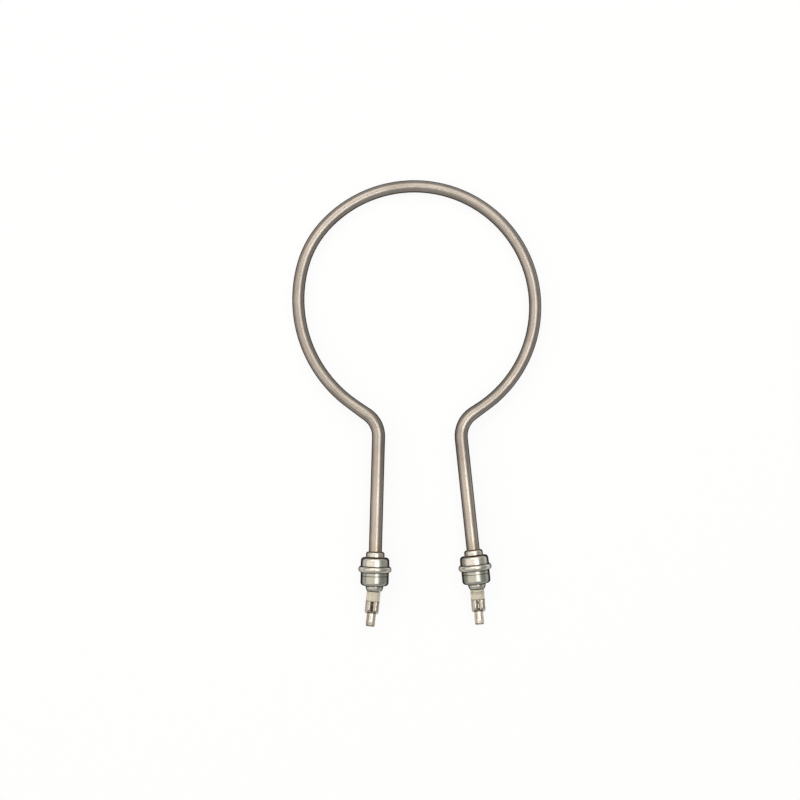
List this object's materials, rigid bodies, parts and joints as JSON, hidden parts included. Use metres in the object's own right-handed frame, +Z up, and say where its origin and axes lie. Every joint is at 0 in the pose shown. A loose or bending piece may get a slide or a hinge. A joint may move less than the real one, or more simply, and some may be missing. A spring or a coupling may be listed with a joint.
{
  "type": "tubular heating element",
  "caption": "Ring-shaped tubular heating element with splayed legs, beaded bushings, ceramic insulators and rolled tab terminals.",
  "frame": {"origin": "centre of the footprint, on the surface that the element lies on", "axes": "+Z up, +Y along the legs from the terminals to the ring, +X across the legs; the element lies on its beads and the far side of the ring"},
  "size_m": [0.1748, 0.3126, 0.0232],
  "materials": {
    "sheath_steel": "drawn and bright annealed stainless steel, satin",
    "bushing_steel": "turned stainless steel, fine satin",
    "copper_braze": "furnace-brazed copper seam",
    "steatite": "unglazed cream steatite",
    "terminal_plate": "nickel-plated steel sheet, rolled",
    "pin_nickel": "nickel-plated steel pin",
    "seal_rubber": "dark silicone seal",
    "magnesia": "compacted magnesium oxide",
    "resistance_wire": "close-wound nickel-chromium wire"
  },
  "bodies": {
    "root": {"body_braze_left": "copper_braze", "body_braze_right": "copper_braze", "bushing_left": "bushing_steel", "bushing_right": "bushing_steel", "ceramic_insulator_left": "steatite", "ceramic_insulator_right": "steatite", "end_seal_left": "seal_rubber", "end_seal_right": "seal_rubber", "inner_sleeve_left": "bushing_steel", "inner_sleeve_right": "bushing_steel", "magnesia_fill": "magnesia", "pin_locator_left": "magnesia", "pin_locator_right": "magnesia", "resistance_coil": "resistance_wire", "sheath_braze_left": "copper_braze", "sheath_braze_right": "copper_braze", "sheath_tube": "sheath_steel", "tab_terminal_left": "terminal_plate", "tab_terminal_right": "terminal_plate", "terminal_pin_left": "pin_nickel", "terminal_pin_right": "pin_nickel"}
  },
  "joints": []
}
